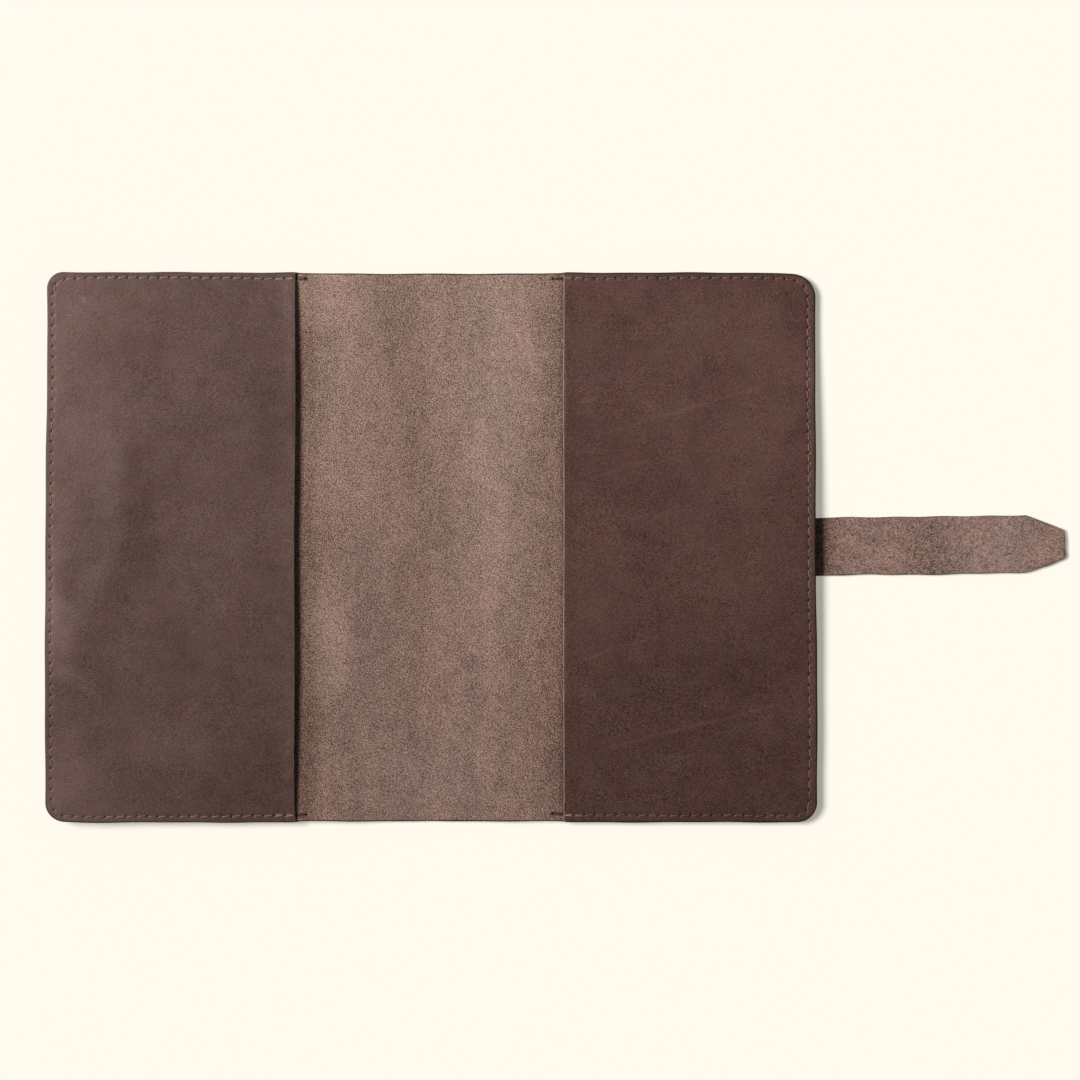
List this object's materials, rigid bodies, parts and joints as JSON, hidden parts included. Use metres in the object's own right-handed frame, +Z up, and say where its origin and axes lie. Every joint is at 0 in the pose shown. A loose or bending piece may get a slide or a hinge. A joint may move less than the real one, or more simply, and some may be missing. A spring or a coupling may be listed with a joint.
{
  "type": "leather notebook cover",
  "caption": "Refillable leather notebook cover, laid open: outer hide folded at a spine, two sewn inner pockets, and a closing strap that tucks under a keeper band.",
  "frame": {"origin": "middle of the footprint, on the surface that the open cover lies on", "axes": "cover laid open with its inside up: +X from the front cover across the spine and the back cover to the strap's tip, +Y to the top edge, +Z up, out of the inside"},
  "size_m": [0.4266, 0.23, 0.0086],
  "materials": {
    "outer_leather": "brown hide, smooth waxed grain outside, matte flesh side inside",
    "pocket_leather": "dark brown waxed pull-up grain, satin",
    "strap_leather": "brown hide strap, matte flesh side inside",
    "keeper_leather": "dark brown waxed grain, satin",
    "sewing_thread": "waxed twisted tan thread"
  },
  "bodies": {
    "back_cover": {"back_cover": "outer_leather", "back_pocket": "pocket_leather", "back_pocket_top_border": "pocket_leather", "back_pocket_side_border": "pocket_leather", "back_pocket_bottom_border": "pocket_leather", "strap_root": "strap_leather", "back_pocket_needle_thread": "sewing_thread", "back_pocket_bobbin_thread": "sewing_thread", "strap_needle_thread": "sewing_thread", "strap_bobbin_thread": "sewing_thread"},
    "spine": {"spine_panel": "outer_leather"},
    "front_cover": {"front_cover": "outer_leather", "front_pocket": "pocket_leather", "front_pocket_top_border": "pocket_leather", "front_pocket_side_border": "pocket_leather", "front_pocket_bottom_border": "pocket_leather", "keeper_band": "keeper_leather", "keeper_upper_end": "keeper_leather", "keeper_lower_end": "keeper_leather", "front_pocket_needle_thread": "sewing_thread", "front_pocket_bobbin_thread": "sewing_thread", "keeper_upper_needle_thread": "sewing_thread", "keeper_upper_bobbin_thread": "sewing_thread", "keeper_lower_needle_thread": "sewing_thread", "keeper_lower_bobbin_thread": "sewing_thread"},
    "strap_wrap": {"strap_wrap": "strap_leather"},
    "strap_tip": {"strap_tip": "strap_leather"}
  },
  "joints": [
    {"name": "back_fold", "type": "hinge", "parent": "back_cover", "child": "spine", "pos_m": [-0.0423, 0, 0.0033], "axis": [0, 1, 0], "range_deg": [0, 90]},
    {"name": "front_fold", "type": "hinge", "parent": "spine", "child": "front_cover", "pos_m": [-0.0623, 0, 0.0033], "axis": [0, 1, 0], "range_deg": [0, 88.89]},
    {"name": "strap_lower_fold", "type": "hinge", "parent": "back_cover", "child": "strap_wrap", "pos_m": [0.1093, 0, 0.0015], "axis": [0, -1, 0], "range_deg": [0, 90]},
    {"name": "strap_upper_fold", "type": "hinge", "parent": "strap_wrap", "child": "strap_tip", "pos_m": [0.1333, 0, 0.0015], "axis": [0, -1, 0], "range_deg": [0, 90]}
  ]
}
